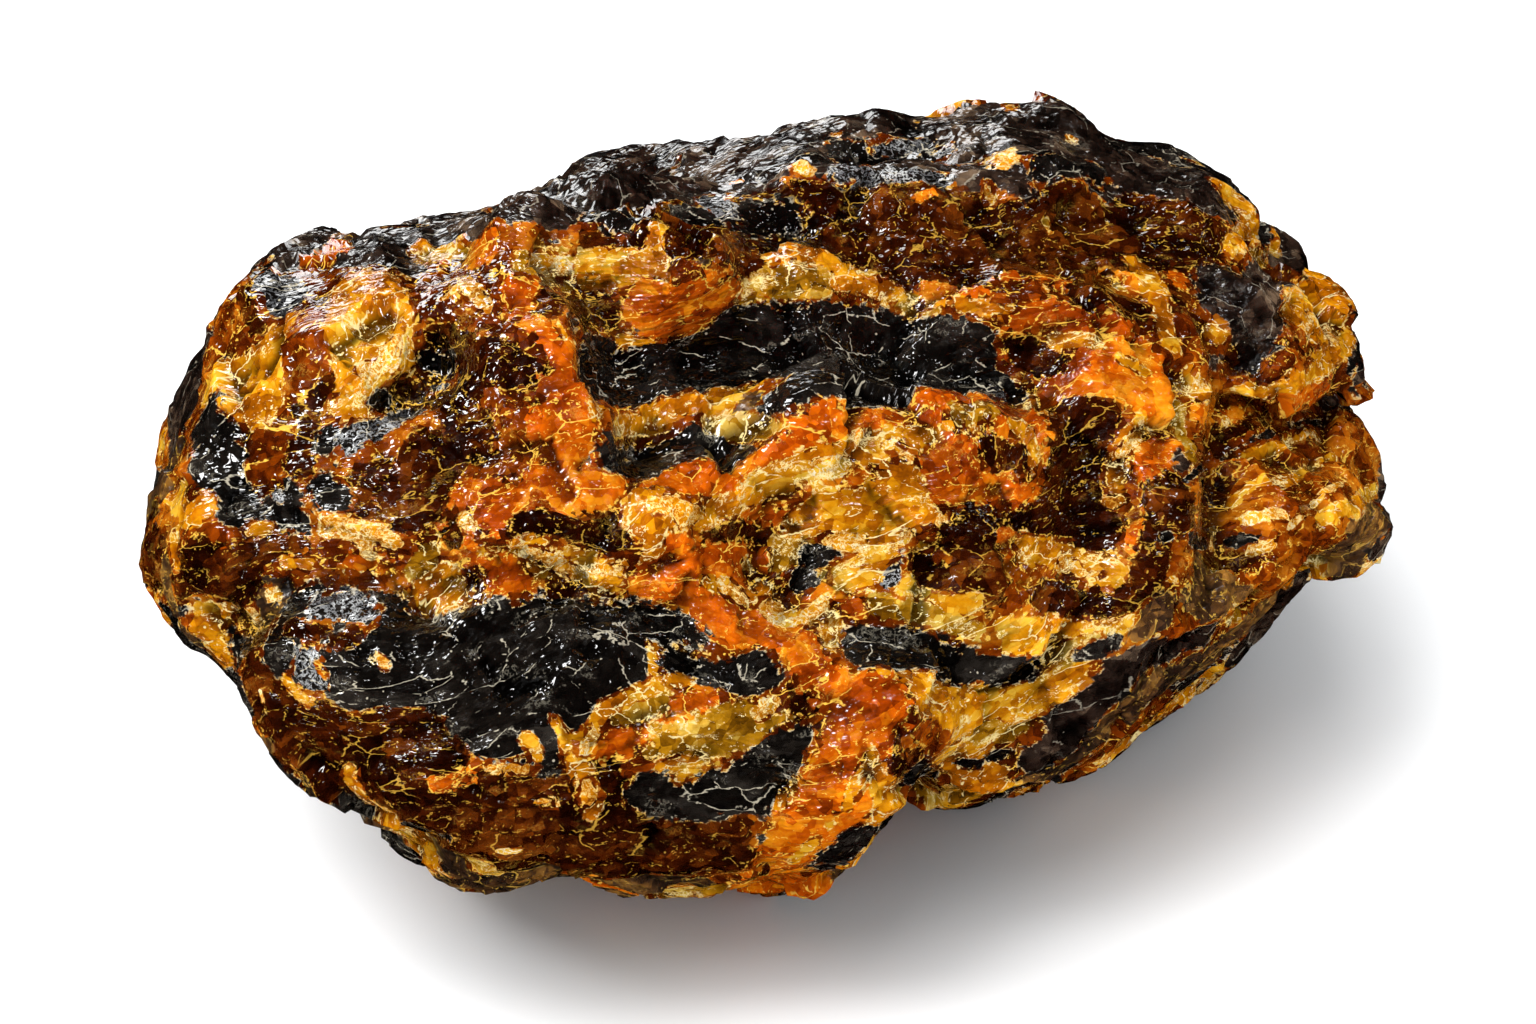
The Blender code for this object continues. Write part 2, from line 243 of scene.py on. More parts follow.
flapPatches = [
    ("cognac", 5.6, (-16.5, 11.5), (-14.4, 8), (-13.6, 4.6)),
    ("orange", 1.8, (-11.6, 7.4), (-11.2, 4), (-11.4, 2.8)),
    ("orange", 1.3, (-13.6, 12.4), (-12.4, 10.8), (-11.2, 8.6)),
    ("orange", 1.2, (-18.4, 14.2), (-16, 14.6)),
    ("gold", 0.9, (-19, 14.8), (-17.6, 14.4)),
    ("maroon", 1.3, (-18.4, 9.6), (-16, 9), (-13.8, 8)),
    ("black", 0.9, (-19.4, 8.6), (-18, 8.2)),
    ("maroon", 1.2, (-18.8, 6.2), (-16.4, 6)),
    ("steel", 0.5, (-19.2, 6.6), (-17.8, 7.1)),
    ("maroon", 1.3, (-18.6, 3.2), (-15.8, 4.2)),
    ("maroon", 1.9, (-22, 1), (-19.4, 1), (-18.6, 2.2)),
    ("orange", 1.0, (-16.5, 0.8), (-13, 1)),
    ("orange", 1.6, (-15.4, -1), (-13, -2)),
    ("cream", 0.5, (-18.2, 11.9), (-16.6, 12.6), (-15, 11.7)),
    ("cream", 0.3, (-17.4, 13.2), (-16.4, 12.8)),
    ("gold", 0.3, (-13.6, 14), (-12.4, 11.6), (-11.2, 9), (-10.4, 7.4), (-9.8, 4), (-9.8, 1.6)),
]
leftPatches = [
    ("crust", 1.6, (-32, 6), (-30.8, 10), (-29, 13), (-26.5, 14.8), (-22, 15.9), (-17, 16.4),
     (-13.5, 17.6)),
    ("gold", 2.4, (-28.6, 7), (-27.4, 10), (-25, 11)),
    ("gold", 1.4, (-30.6, 6.6), (-30, 8.4)),
    ("cognac", 1.4, (-25.4, 9.4), (-24.6, 12.2)),
    ("gold", 2.0, (-22.6, 12.6), (-22.4, 10), (-21.4, 8), (-22.4, 6)),
    ("cream", 0.7, (-21.4, 9.6), (-21.2, 8.2)),
    ("cream", 0.5, (-22.6, 8.2), (-22.2, 7.8)),
    ("cream", 0.5, (-23, 13.6), (-20.6, 13.2)),
    ("cognac", 1.6, (-29.4, 12.2), (-29.8, 10)),
    ("maroon", 0.8, (-28.6, 10.6), (-29, 12)),
    ("steel", 1.1, (-27.4, 13), (-27, 11.8)),
    ("cream", 0.4, (-28.4, 14), (-27.4, 14.2)),
    ("cream", 0.5, (-29.8, 7.8), (-29.4, 7.2)),
    ("orange", 0.8, (-24, 14.8), (-23.6, 14.4)),
    ("orange", 0.8, (-25.4, 14), (-25, 13.8)),
    # painted shade: the next three patches darken the hollow under the golden lobe
    ("maroon", 0.7, (-24.8, 7.2), (-24.4, 7.4)),
    ("maroon", 1.0, (-21.4, 5.9), (-20.4, 7)),
    ("black", 0.6, (-21.9, 6.1), (-21.5, 6.3)),
    ("black", 1.4, (-31, 5.2), (-30.2, 4), (-30.4, 1.6), (-29.6, 0.8)),
    ("crust", 1.2, (-33, 4.6), (-32.4, 5.8)),
    ("rind", 0.7, (-33.4, 2.2), (-33.6, 0)),
    ("gold", 0.9, (-32.8, 1.2), (-32, -0.4), (-31, 0.4)),
    ("gold", 0.6, (-33, -1.4), (-32.6, -3)),
    ("maroon", 0.8, (-25.6, 6), (-25.2, 4)),
    ("maroon", 0.9, (-26.4, 3.2), (-25.6, 2.4)),
    ("black", 0.9, (-24.4, 4), (-22, 3.4)),
    ("steel", 1.0, (-23, 4), (-21, 4.6), (-20, 5.2)),
    ("cream", 0.3, (-21.4, 3.8), (-20.9, 3.5)),
    ("black", 1.0, (-24.6, 1.4), (-24, 0.8)),
    ("black", 0.9, (-27, 1.2), (-26.8, 0)),
    ("steel", 0.5, (-27.3, 1.2), (-27, 0.8)),
    ("cream", 0.45, (-23.2, 2), (-22.4, 1.8)),
    ("gold", 0.4, (-22.2, 1), (-21.4, 0.4), (-20.6, 0.4)),
    ("black", 1.2, (-27.5, -0.6), (-26.4, -1)),
    ("orange", 1.0, (-23, -2.6), (-21, -2.2)),
    ("cream", 0.7, (-24.8, -0.8), (-23.4, -0.6), (-22.6, -1)),
    ("cream", 0.6, (-21.6, -0.6), (-20.8, -1.6)),
    ("cream", 0.45, (-22.6, -2), (-21.4, -2.6)),
    ("cream", 0.4, (-23.8, -3.4), (-22, -3.4)),
    ("maroon", 1.2, (-28.6, -2.6), (-26.6, -2.4)),
    ("gold", 0.5, (-29, -1), (-28, -0.8)),
    ("gold", 0.5, (-27, -3.2), (-25.8, -3)),
    ("maroon", 1.7, (-31, -3.2), (-30, -4), (-29.8, -5)),
    ("gold", 1.2, (-31, -5.8), (-31.4, -6.6), (-30.4, -7.8)),
    ("cream", 0.6, (-29, -5.6), (-28.6, -6.8)),
    ("cream", 0.4, (-27.8, -5.2), (-27.4, -5.2)),
    ("gold", 0.9, (-28.4, -8), (-29.2, -9.2)),
    ("rind", 0.8, (-33.2, -3.4), (-32.8, -5.2), (-31.8, -7)),
    ("gold", 1.8, (-18.6, -4), (-17.4, -5.6), (-15.6, -6.6), (-14, -5.8)),
    ("olive", 0.9, (-19.4, -3), (-18.6, -2.2)),
    ("cream", 0.4, (-18.8, -5.4), (-17, -6.2)),
    ("maroon", 0.6, (-17.2, -0.6), (-16.9, -2.6), (-16.2, -4.6)),
    ("gold", 1.0, (-15.2, -2.6), (-12.6, -3.4)),
    ("cream", 0.5, (-16.6, -0.6), (-15.6, -1.8), (-13.6, -2.6)),
    ("orange", 1.1, (-14.4, -4), (-13, -4.2)),
]
lowerLeftPatches = [
    ("maroon", 3.0, (-27, -10.4), (-23, -11.4), (-19, -11)),
    ("maroon", 3.2, (-24, -13), (-19, -14), (-16, -15.6)),
    ("maroon", 2.0, (-28.4, -8.6), (-25.4, -9), (-24, -10)),
    ("black", 2.6, (-25.6, -7), (-22.6, -7.2), (-21, -6.6)),
    ("black", 2.0, (-22, -9.4), (-19, -9)),
    ("black", 3.2, (-16, -8.8), (-12.6, -8.2), (-9, -8), (-7, -8)),
    ("black", 2.6, (-15.4, -11.4), (-12.6, -11.6)),
    ("black", 1.6, (-6, -8.6), (-3, -9.8), (-1, -9.6)),
    ("black", 1.1, (-12, -6.6), (-10, -6.6)),
    ("black", 1.5, (-25.2, -5.4), (-23.4, -5), (-22.4, -5.6)),
    ("steel", 0.9, (-25.0, -5.3), (-23.4, -4.9), (-22.6, -5.4)),
    ("steel", 0.8, (-25.4, -8), (-24.8, -9)),
    ("maroon", 0.6, (-26.5, -6.5), (-26.2, -6.6)),
    ("maroon", 0.55, (-25.1, -6.8), (-24.6, -6.2)),
    ("maroon", 0.6, (-23.6, -7), (-23, -6.2)),
    ("orange", 0.35, (-24.5, -8.4), (-24.3, -8.8)),
    ("cream", 0.4, (-21.8, -7.6), (-21.2, -8.2)),
    ("cream", 0.35, (-28.2, -9.4), (-27.8, -11)),
    ("gold", 0.45, (-26.4, -9.2), (-25.2, -10.4)),
    ("maroon", 1.8, (-26.2, -12), (-24.2, -14), (-22.6, -15.8)),
    ("gold", 0.35, (-24.2, -12.8), (-23.2, -13.6)),
    ("maroon", 2.2, (-21, -13.4), (-18.6, -14.6)),
    ("gold", 0.9, (-23, -14.8), (-21.4, -16.8), (-19.8, -18.2)),
    ("gold", 1.3, (-19.6, -18.6), (-18.4, -19)),
    ("rind", 0.6, (-29.2, -10.6), (-27.4, -12.6), (-25.4, -14.6), (-23, -16.4)),
    ("steel", 0.4, (-15.6, -14), (-13.4, -14)),
    ("cream", 0.35, (-16.8, -14), (-15.2, -14.2), (-13.6, -14.2)),
    ("orange", 0.6, (-18.6, -15), (-17, -14.6)),
    ("cream", 0.35, (-17.8, -15), (-17.3, -15.1)),
    ("maroon", 2.0, (-16, -17.4), (-12, -17.6), (-8, -18), (-4, -18.6), (-2.6, -19)),
    ("cream", 0.35, (-15, -18.6), (-14, -18.5)),
    ("rind", 0.4, (-17.6, -19.5), (-13, -19.6), (-9.6, -20), (-6, -20.5), (-3.4, -20)),
    ("orange", 0.5, (-15.6, -20), (-11.6, -20.3), (-8, -20.8), (-5.4, -20.7)),
    ("gold", 0.6, (-13.4, -12.6), (-12.8, -13.4)),
    ("gold", 0.5, (-11.8, -11.8), (-11.2, -13)),
    ("cream", 0.4, (-12.6, -15.8), (-11.6, -15.9)),
    ("olive", 1.2, (-8, -11.2), (-6, -10.9)),
    ("orange", 1.0, (-9.4, -13), (-7, -13), (-5, -11.8), (-3.8, -10.8)),
    ("gold", 0.6, (-10.6, -13.8), (-9.6, -12.4), (-9, -10.8), (-7.4, -10), (-5, -9.7)),
    ("cream", 0.5, (-10, -13.4), (-9.4, -12.6)),
    ("gold", 0.8, (-10, -15), (-9.2, -15.8)),
    ("cream", 0.5, (-9.8, -15.2), (-9.4, -15.6)),
    ("olive", 1.5, (-5.4, -13.6), (-3.4, -13), (-1.6, -12.4), (0, -12)),
    ("gold", 0.9, (-5.8, -14.4), (-4, -14.4)),
    ("cream", 0.6, (-0.8, -11.4), (0.2, -10.9)),
    ("gold", 0.6, (-6.4, -7.4), (-6.2, -8.8)),
    ("olive", 0.7, (-5, -7.6), (-3.6, -8.2)),
    ("black", 1.3, (-3, -15.4), (-1, -14.6), (0.4, -13.4)),
    ("black", 0.9, (1.2, -13), (2, -12.6)),
    ("black", 1.0, (-6.5, -15.2), (-4, -15.8)),
    ("gold", 0.7, (0.6, -16.2), (1.8, -14.8), (3, -13.6)),
]
middlePatches = [
    ("orange", 2.0, (-13, -1), (-8, -0.6), (-4, -2), (-1, -3)),
    ("orange", 1.6, (-12, 1), (-9, 1)),
    ("maroon", 1.4, (-13, -1.2), (-10.4, -1.2), (-8.6, -1.4)),
    ("maroon", 1.1, (-3.4, -1.0), (-1.4, -0.6), (0, -1)),
    ("orange", 1.2, (-1, 0.6), (1, 0.8), (3, 1.2)),
    ("gold", 1.2, (-7, 0.5), (-4, 0.4), (-1, 1.5), (2, 3.2), (5, 4.1), (9, 4.8), (11, 4.6)),
    ("orange", 0.6, (-5, 1.2), (-2, 1.6), (1, 3.8), (5, 5), (9, 5.4)),
    ("cream", 0.6, (-6.6, 0.4), (-5.4, 0.6)),
    ("cream", 0.5, (-5, 0), (-4, 0.2)),
    ("cream", 0.6, (2.6, 2.8), (3.6, 2.6)),
    ("cream", 0.55, (6.4, 3.8), (6.9, 3.7)),
    ("cream", 0.5, (7.2, 3), (7.7, 3)),
    ("gold", 1.0, (-13, -2.6), (-11, -3.8), (-8.4, -3.4), (-6.4, -3)),
    ("cream", 0.5, (-13.2, -2.8), (-11.8, -3.4), (-10.6, -4)),
    ("cream", 0.4, (-9.6, -3.2), (-8, -3)),
    ("orange", 1.6, (-6, -4), (-4, -3.4), (-2.4, -4)),
    ("gold", 0.5, (-8, -0.4), (-6.6, -0.8), (-6.2, -1.8)),
    ("gold", 0.6, (-3, -4), (-1, -5)),
    ("cream", 0.45, (-1, -3), (-0.7, -3.4)),
    ("cream", 0.6, (-2, -4.2), (-1.4, -4.8)),
    ("orange", 1.3, (-5.6, -5.4), (-3.4, -6.4), (-1.4, -7.6)),
    ("maroon", 1.4, (0.6, -9.6), (2, -10.8), (3, -10.8)),
    ("orange", 1.3, (0.4, -6.8), (1.6, -8), (2.8, -9.2), (3.8, -9.8)),
    ("gold", 0.8, (0, -4.4), (0.4, -5.2)),
    ("cream", 0.9, (0.4, -5.4), (1.8, -6), (3, -6), (3.8, -6.8), (4, -7.4)),
    ("gold", 2.4, (3, -1), (5, -1.4), (7, 0), (6.4, -3)),
    ("olive", 1.3, (1.2, -2.6), (3, -3.2)),
    ("black", 0.8, (2.4, -2.8), (3.6, -2.4)),
    ("black", 0.6, (1.6, -4.1), (2.1, -4.3)),
    ("cream", 0.6, (3.4, -1.8), (4.8, -2)),
    ("cream", 0.5, (5, -4.8), (5.8, -4.6)),
    ("gold", 0.8, (4, -4), (5.4, -3.4), (6.6, -2)),
    ("steel", 0.6, (6.2, -4), (7, -3), (7.6, -2)),
    ("cream", 0.5, (7.4, -1.4), (8.2, -0.8)),
    ("gold", 1.2, (7, 1), (9.4, -0.6), (10, 0.4)),
    ("orange", 1.2, (9, 1.4), (12, 1), (14, 0.6), (14.6, 1.2)),
    ("cream", 0.5, (8.9, -1.2), (9.2, -0.2)),
    ("maroon", 0.9, (8.2, -2.6), (8.8, -3.6)),
    ("maroon", 1.8, (11, -1.4), (12, -2.8), (11, -4)),
    ("orange", 0.9, (13.4, -1.6), (14, -3.4)),
    ("maroon", 1.0, (12, 3), (14.6, 2.6)),
    ("orange", 1.0, (9.8, 3.4), (10.4, 3.3)),
    ("gold", 0.7, (9.4, -4.8), (8, -4.6), (11, -5)),
    ("olive", 0.8, (6, -5.4), (8.4, -5.6), (10.8, -6.2)),
]
rightPatches = [
    ("orange", 3.4, (16, 8.4), (18.6, 8), (20, 6.4), (16.4, 5.4)),
    ("maroon", 1.0, (14, 9), (15.6, 8.6)),
    ("maroon", 0.9, (17, 5.6), (19, 5.4)),
    ("gold", 0.5, (19.4, 8.4), (20.4, 7.8)),
    ("gold", 0.8, (13.6, 7.4), (14.2, 6.2)),
    ("gold", 0.7, (14, 4.6), (14.6, 3.6), (15, 2.4)),
    ("gold", 0.6, (16, 9.6), (18.6, 9.6)),
    ("cream", 0.5, (15.3, 5.6), (15.7, 5.4)),
    ("olive", 0.8, (10.8, 5.3), (12.4, 5.4)),
    ("black", 0.9, (12.6, 7), (13.4, 6.6)),
    ("steel", 0.5, (12.2, 6.7), (12.5, 6.5)),
    ("maroon", 2.1, (17.4, 3.4), (17.4, 1.2)),
    ("maroon", 1.6, (15, -1), (19, -0.8)),
    ("gold", 0.8, (20.4, 4.6), (20.2, 3), (20.2, 0.8)),
    ("cream", 0.4, (20.6, 4.4), (20, 3.2)),
    ("cream", 0.4, (20.6, 0.8), (19.4, 0.4)),
    ("orange", 0.7, (21.2, 3), (21, 0), (20.9, -2)),
    # a painted shadow: the dark maroon strip beside the ridge
    ("maroon", 0.9, (21.8, 1), (21.8, -1.6), (21.4, -3)),
    ("black", 0.55, (22, -1.5), (22.3, -1.5)),
    ("maroon", 1.6, (15.6, -5), (18.6, -4.6), (20.4, -4.4)),
    ("gold", 0.9, (14.6, -2), (17, -2.8), (19, -3)),
    ("cream", 0.5, (16.8, -3), (18.6, -3.2)),
    ("gold", 0.8, (13, -6), (16, -6.2), (19.4, -6.2), (20.6, -5.8)),
    ("olive", 0.8, (14.6, -8), (16.8, -7.4), (18, -7)),
    ("black", 1.6, (6, -8), (9, -8.2), (12, -8.8), (14, -9)),
    ("black", 0.9, (17.8, -7.8), (19.2, -7.4)),
    ("gold", 1.1, (6, -10.2), (9, -10), (12, -10.4), (16, -10), (17.6, -9.2)),
    ("cream", 0.4, (9, -9.8), (12, -10.2), (14.6, -10.2)),
    ("gold", 1.8, (8, -12), (11, -12), (14, -11.6)),
    ("cognac", 0.8, (8, -13), (9.6, -12.8)),
    ("olive", 1.0, (12, -12.6), (14.4, -12.4)),
    ("gold", 1.2, (10.6, -14.6), (13, -15), (14.6, -15)),
    ("black", 0.5, (10.8, -13.9), (11.2, -13.9)),
    ("black", 0.6, (12.4, -13.4), (13.6, -13.5)),
    ("maroon", 1.0, (7, -13.6), (8.4, -14.2), (9, -15)),
    ("black", 0.8, (8.2, -14.3), (8.8, -14.6)),
    ("rind", 3.0, (16, -13.6), (20, -10.6), (25, -7.4), (30, -2.6), (32.6, 0.6)),
    ("crust", 1.6, (15, -13.6), (18, -11), (19.6, -9), (21, -8), (24, -6.6)),
    ("rind", 0.8, (20.8, -6.4), (21.8, -5)),
    ("gold", 0.8, (14.6, -15.6), (18, -14), (21, -12), (24, -10), (27, -7.8), (30, -5),
     (32.4, -3.4)),
    ("gold", 1.0, (28, -4.4), (30.6, -2.8), (32, -2.2)),
    ("orange", 2.0, (6.4, -11), (5, -13), (3.6, -15.6), (1.6, -18), (-0.2, -20), (-1.2, -21.2)),
    ("gold", 0.5, (5.6, -13.4), (4.4, -15.6), (3, -17.6), (1.4, -19.2)),
    ("gold", 0.6, (6.4, -14.4), (6.8, -15.4)),
    ("maroon", 0.6, (-0.6, -19.6), (-1.4, -20.6)),
    ("rind", 0.4, (6.8, -16), (10, -16.2), (13, -16)),
    ("black", 0.8, (5, -17.6), (7.6, -17)),
    ("crust", 0.8, (3.4, -19.6), (6, -18.4)),
]
ledgePatches = [
    ("cognac", 4.0, (26, 9), (30, 9.6)),
    ("crust", 2.2, (25.6, 12.6), (27, 11), (28.6, 12.4)),
    ("crust", 1.0, (27.6, 13.8), (29.4, 13)),
    ("crust", 0.9, (24.6, 8.8), (26.4, 8.4)),
    ("maroon", 0.8, (28.6, 9.6), (30, 8.8)),
    ("gold", 0.8, (24.6, 10.4), (25.2, 10)),
    ("gold", 0.9, (26, 14.6), (26.8, 15.6), (26.4, 17), (25.4, 17.6)),
    ("gold", 1.0, (30.4, 10), (31.4, 11.6), (30, 12.6), (29, 11)),
    ("maroon", 0.8, (27.4, 2.4), (29, 3.0)),
    ("maroon", 0.6, (30.4, 1.4), (31.6, 2.6)),
    ("orange", 1.0, (24, 6.2), (26, 5.4), (28, 6), (30.6, 6.6)),
    ("gold", 0.8, (23, 7.4), (24.6, 7), (26.4, 6.6), (28, 6.8), (30, 7.4), (31.6, 8.4),
     (32.4, 9.6)),
    ("cream", 0.45, (23.6, 7.6), (24.2, 7.4)),
    ("cream", 0.4, (25.4, 5.4), (25.6, 5.1)),
    ("cream", 0.4, (27.4, 7), (28.4, 7.4)),
    ("cream", 0.4, (29.7, 7.5), (30, 7.8)),
    ("maroon", 0.7, (23.6, 4), (25.6, 4.6), (28, 5.2)),
    ("olive", 0.7, (22.6, 6), (22.8, 4.6), (23.4, 3)),
    ("cognac", 2.6, (25.4, 1.4), (29, 2.6), (32, 4)),
    ("gold", 0.5, (24.8, 2.6), (27.4, 3.4), (30.4, 4.4)),
    ("gold", 0.6, (25.8, 0.8), (28.4, 1.6), (31.6, 3)),
    ("cognac", 1.2, (32.6, 5), (33, 3.4)),
    ("cognac", 1.4, (31, 0.8), (33.2, 2.4)),
    ("rind", 1.4, (31.2, -2.4), (33.6, -0.4)),
    ("gold", 0.5, (30.4, -1), (32.4, 0), (33.8, 1.8)),
    ("maroon", 1.4, (22.8, 1), (23.4, -0.4)),
    ("maroon", 0.8, (24, 2), (25.6, 2.4)),
    ("cognac", 1.5, (24.4, -1.6), (27, -1.8), (29, -0.6)),
    ("black", 0.5, (23.8, -1.6), (24.2, -1.6)),
    ("black", 0.45, (25.6, -1.6), (27.2, -1.8)),
    ("cream", 0.4, (24.6, -0.8), (24.6, -2)),
    ("cream", 0.5, (26.4, -0.6), (28.4, -0.4)),
    ("cream", 0.4, (26.8, -2.4), (28, -2.2)),
    ("cream", 0.3, (22.2, -3.8), (25, -3.4), (28, -1.8), (30.4, 0), (33, 2)),
    # painted shade: the thin black line in the cleft under the upper ledge
    ("black", 0.35, (23, 2), (25.6, 3.4), (28, 4.6), (30.4, 5.2), (32.4, 6.2)),
    ("crust", 0.7, (32.8, 7.4), (33, 8.4)),
]
allPatches = (groundPatches + beltPatches + crownPatches + flapPatches + blackPatches + leftPatches
              + middlePatches + lowerLeftPatches + rightPatches + ledgePatches)

# The kinds are kept as the three parts of three attributes. Cognac is what none of them covers.
kindSets = {
    "darkKinds": ("black", "crust", "maroon"),
    "warmKinds": ("orange", "gold", "olive"),
    "paleKinds": ("cream", "rind", "steel"),
}
kindNames = [kind for kinds in kindSets.values() for kind in kinds]

patchEdge = {
    "drawnIn": 0.10 * mm,
    "softest": 1.1 * mm,
    "softShare": 0.9,  # of a patch's half width
    "wander": ((7.0, 0.8), (2.4, 0.3)),  # (size, reach) in mm of what makes the outlines ragged
    "seeds": (100, 131, 162),
    "wildSteepness": 6,  # how sharply the kinds end where nothing is drawn
}
grain = {
    "stretch": 1.9,  # how far the fibres are drawn out
    "rise": 0.18,  # how steeply they climb
    "deep": 0.7,  # how much they change with depth
    "sway": ((11.0, 3.0), (4.5, 0.7)),  # (size, reach) in mm of their bends
    "seeds": (211, 228, 245),
}

# Where nothing is drawn, each kind comes up where its own slow noise is high.
# Each is (kind, size in mm, level, seed).
wildKinds = (
    ("maroon", 13, -0.02, 11),
    ("orange", 9, 0.16, 23),
    ("gold", 8, 0.20, 37),
    ("olive", 6, 0.36, 41),
    ("crust", 17, 0.14, 53),
    ("black", 10, 0.20, 67),
    ("cream", 4, 0.56, 71),
    ("rind", 12, 0.26, 83),
)


def slowNoise(places, size, seed):
    shift = Vector((seed, -seed, 0.5 * seed))
    return np.array([noise.noise(Vector(place) / (size * mm) + shift) for place in places])


def bent(places, waves, seeds):
    moved = places.copy()
    for size, reach in waves:
        for axis, seed in enumerate(seeds):
            moved[:, axis] += reach * mm * slowNoise(places, size, seed)
    return moved


def eased(share):
    share = np.clip(share, 0, 1)
    return share * share * (3 - 2 * share)


def gapToPath(places, path):
    best = np.full(len(places), np.inf)
    for start, end in zip(path, path[1:]):
        run = end - start
        t = np.clip((places - start) @ run / (run @ run), 0, 1)
        best = np.minimum(best, np.linalg.norm(places - start - t[:, None] * run, axis=1))
    return best


def onLump(tree, point):
    seen = aim + point[0] * mm * across + point[1] * mm * upwards
    ray = (seen - eye).normalized()
    hit = tree.ray_cast(eye, ray)[0]
    return hit or tree.find_nearest(seen)[0]


def paintKinds(mesh):
    places = pointsOf(mesh)
    tree = BVHTree.FromPolygons([v.co for v in mesh.vertices], [p.vertices for p in mesh.polygons])
    ragged = bent(places, patchEdge["wander"], patchEdge["seeds"])
    share = {kind: np.zeros(len(places)) for kind in kindNames}

    def cover(kind, mask):
        for other in kindNames:
            share[other] *= 1 - mask
        if kind in share:
            share[kind] += mask

    for kind, size, level, seed in wildKinds:
        over = slowNoise(ragged, size, seed) - level
        cover(kind, eased(over * patchEdge["wildSteepness"] + 0.5))
    for kind, width, *points in allPatches:
        path = [np.array(onLump(tree, point)) for point in points]
        soft = min(patchEdge["softest"], patchEdge["softShare"] * width * mm)
        outside = gapToPath(ragged, path) - width * mm + patchEdge["drawnIn"]
        cover(kind, eased(0.5 - outside / (2 * soft)))
    return share


def fibreCoordinates(places):
    swayed = bent(places, grain["sway"], grain["seeds"])
    run = swayed @ np.array(across)
    rise = swayed @ np.array(upwards) - grain["rise"] * run
    deep = swayed @ np.array(towards) * grain["deep"]
    return np.stack([run / grain["stretch"], rise, deep], axis=1) / mm


shares = paintKinds(lump.data)
fibres = fibreCoordinates(pointsOf(lump.data))
print("patches", len(allPatches))


# The relief of the broken surface.
relief = {
    # (size mm, tilt, seed) of the small broken faces
    "facets": ((5.2, 0.34, 5), (2.6, 0.24, 9), (1.3, 0.14, 3)),
    "leanShuffle": 7.3,  # makes neighbouring faces lean unlike ways
    # the crust's dimples and the drawn-out ripples, in mm
    # (the level is how much of the height lies below the skin)
    "scallops": {"size": 2.2, "depth": 0.45, "steepness": 1.25, "level": 0.4},
    "streaks": {"spacing": 1.2, "height": 0.12, "level": 0.7},
    "blackDepth": 0.12,  # mm
    "crusty": {"crust": 1, "steel": 0.7, "maroon": 0.3},  # how much each kind is dimpled
    "calmCrust": 0.6,  # how much flatter the broken faces are on crust
    "wornPasses": 14,  # smoothing passes that tell a hollow from an edge
    "wornDepth": 0.35,  # mm
}


def facetAt(place, size, seed):
    spot = place / size + Vector((seed, seed, seed))
    centre = noise.voronoi(spot)[1][0]
    return noise.cell_vector(centre * relief["leanShuffle"]), (spot - centre) * size


def scallopRise(place):
    dimple = relief["scallops"]
    near = noise.voronoi(place / dimple["size"])[0]
    return dimple["depth"] * (min(near[0] * dimple["steepness"], 1.0) ** 2 - dimple["level"])


def streakRise(fibre):
    streak = relief["streaks"]
    ridge = 1 - 2 * abs(noise.noise(fibre / streak["spacing"]))
    return streak["height"] * (ridge - streak["level"])


def raiseSkin(mesh):
    places = pointsOf(mesh)
    normals = normalsOf(mesh)
    facets = np.zeros(len(places))
    flakes = np.zeros((len(places), 3))
    scallops = np.zeros(len(places))
    streaks = np.zeros(len(places))
    for i, (place, fibre) in enumerate(zip(map(Vector, places / mm), map(Vector, fibres))):
        for part, (size, tilt, seed) in enumerate(relief["facets"]):
            lean, away = facetAt(place, size, seed)
            facets[i] += tilt * (lean - Vector((0.5, 0.5, 0.5))).dot(away)
            flakes[i, part] = lean.x
        scallops[i] = scallopRise(place)
        streaks[i] = streakRise(fibre)
    crusty = np.clip(sum(part * shares[kind] for kind, part in relief["crusty"].items()), 0, 1)
    rise = facets * (1 - relief["calmCrust"] * crusty) + scallops * crusty
    rise += streaks * (1 - crusty) * (1 - shares["black"])
    rise -= relief["blackDepth"] * shares["black"]
    rise *= mm * eased(places[:, 2] / skin["flatUnderside"])
    places += normals * rise[:, None]
    places[:, 2] = np.maximum(places[:, 2], 0)
    for axis in range(3):
        places[:, axis] = np.clip(places[:, axis], solidBox[0][axis], solidBox[1][axis])
    mesh.vertices.foreach_set("co", places.ravel())
    mesh.update()
    return flakes


# Near 0 in hollows, 0.5 on even ground and near 1 on edges. The material paints shade into the
# hollows and light onto the edges from it.
def wornShare(mesh):
    places = pointsOf(mesh)
    ends = edgesOf(mesh)
    count = np.bincount(ends.ravel(), minlength=len(places))[:, None]
    calm = places.copy()
    for _ in range(relief["wornPasses"]):
        total = np.stack([
            np.bincount(ends[:, 0], calm[ends[:, 1], axis], len(places))
            + np.bincount(ends[:, 1], calm[ends[:, 0], axis], len(places))
            for axis in range(3)
        ], axis=1)
        calm = total / count
    sunk = ((calm - places) * normalsOf(mesh)).sum(axis=1)
    return np.clip(0.5 - 0.5 * sunk / (relief["wornDepth"] * mm), 0, 1)


def keepOnPoints(mesh, name, kind, part, values):
    layer = mesh.attributes.new(name, kind, "POINT")
    layer.data.foreach_set(part, values.ravel())


flakes = raiseSkin(lump.data)
for attribute, kinds in kindSets.items():
    together = np.stack([shares[kind] for kind in kinds], axis=1)
    keepOnPoints(lump.data, attribute, "FLOAT_VECTOR", "vector", together)
keepOnPoints(lump.data, "fibres", "FLOAT_VECTOR", "vector", fibres)
keepOnPoints(lump.data, "flakes", "FLOAT_VECTOR", "vector", flakes)
keepOnPoints(lump.data, "worn", "FLOAT", "value", wornShare(lump.data))
lump.data.polygons.foreach_set("use_smooth", np.ones(len(lump.data.polygons), bool))
print("relief raised,", sum(len(p.vertices) - 2 for p in lump.data.polygons), "triangles")


# Short forms for wiring nodes.
def wire(tree, socket, value):
    if isinstance(value, bpy.types.NodeSocket):
        tree.links.new(value, socket)
    else:
        socket.default_value = value


